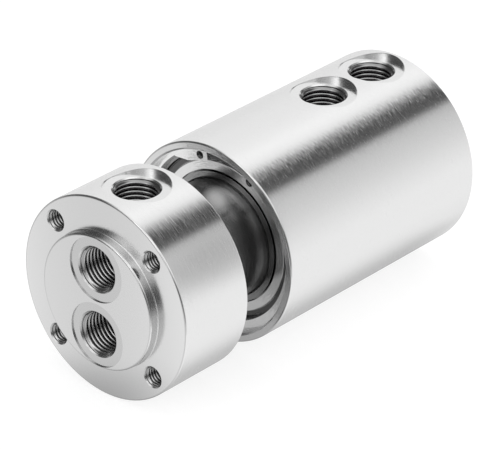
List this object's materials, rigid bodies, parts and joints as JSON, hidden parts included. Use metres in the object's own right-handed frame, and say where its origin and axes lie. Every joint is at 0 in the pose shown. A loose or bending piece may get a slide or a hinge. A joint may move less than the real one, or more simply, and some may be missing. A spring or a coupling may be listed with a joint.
{
  "type": "rotary union",
  "caption": "Flanged rotary union that carries hydraulic channels from a turning shaft to a standing housing with threaded side ports.",
  "frame": {"origin": "centre of the flange's mounting face, on the axis of rotation", "axes": "+Y along the shaft from the flange into the housing, +Z towards the side ports of the housing, +X to the right seen from the flange end"},
  "size_m": [0.06, 0.1262, 0.06],
  "materials": {
    "turned_steel": "fine turned, satin",
    "ring_steel": "ground",
    "bearing_steel": "ground, bright",
    "ball_steel": "polished",
    "cage_steel": "pressed sheet",
    "shield_steel": "pressed sheet, bright",
    "slide_ring_plastic": "filled sliding plastic",
    "seal_rubber": "moulded"
  },
  "bodies": {
    "rotor": {"rotor": "turned_steel", "front_bearing_inner_ring": "bearing_steel", "rear_bearing_inner_ring": "bearing_steel", "front_shaft_ring": "ring_steel", "rear_shaft_ring": "ring_steel"},
    "housing": {"housing": "turned_steel", "retaining_ring": "ring_steel", "spacer_sleeve": "turned_steel", "front_bearing_outer_ring": "bearing_steel", "front_bearing_front_shield": "shield_steel", "front_bearing_rear_shield": "shield_steel", "rear_bearing_outer_ring": "bearing_steel", "rear_bearing_front_shield": "shield_steel", "rear_bearing_rear_shield": "shield_steel", "front_slide_ring": "slide_ring_plastic", "middle_slide_ring": "slide_ring_plastic", "rear_slide_ring": "slide_ring_plastic", "front_o_ring": "seal_rubber", "middle_o_ring": "seal_rubber", "rear_o_ring": "seal_rubber"},
    "front_ball_set": {"front_bearing_balls": "ball_steel", "front_bearing_cage": "cage_steel"},
    "rear_ball_set": {"rear_bearing_balls": "ball_steel", "rear_bearing_cage": "cage_steel"}
  },
  "joints": [
    {"name": "housing_turn", "type": "hinge", "parent": "rotor", "child": "housing", "pos_m": [0, 0.0829, 0], "axis": [0, 1, 0], "continuous": true},
    {"name": "front_cage_turn", "type": "hinge", "parent": "rotor", "child": "front_ball_set", "pos_m": [0, 0.0524, 0], "axis": [0, 1, 0], "continuous": true},
    {"name": "rear_cage_turn", "type": "hinge", "parent": "rotor", "child": "rear_ball_set", "pos_m": [0, 0.0764, 0], "axis": [0, 1, 0], "continuous": true}
  ],
  "couplings": [
    {"joint": "front_cage_turn", "follows": "housing_turn", "ratio": 0.56222},
    {"joint": "rear_cage_turn", "follows": "housing_turn", "ratio": 0.56222}
  ]
}
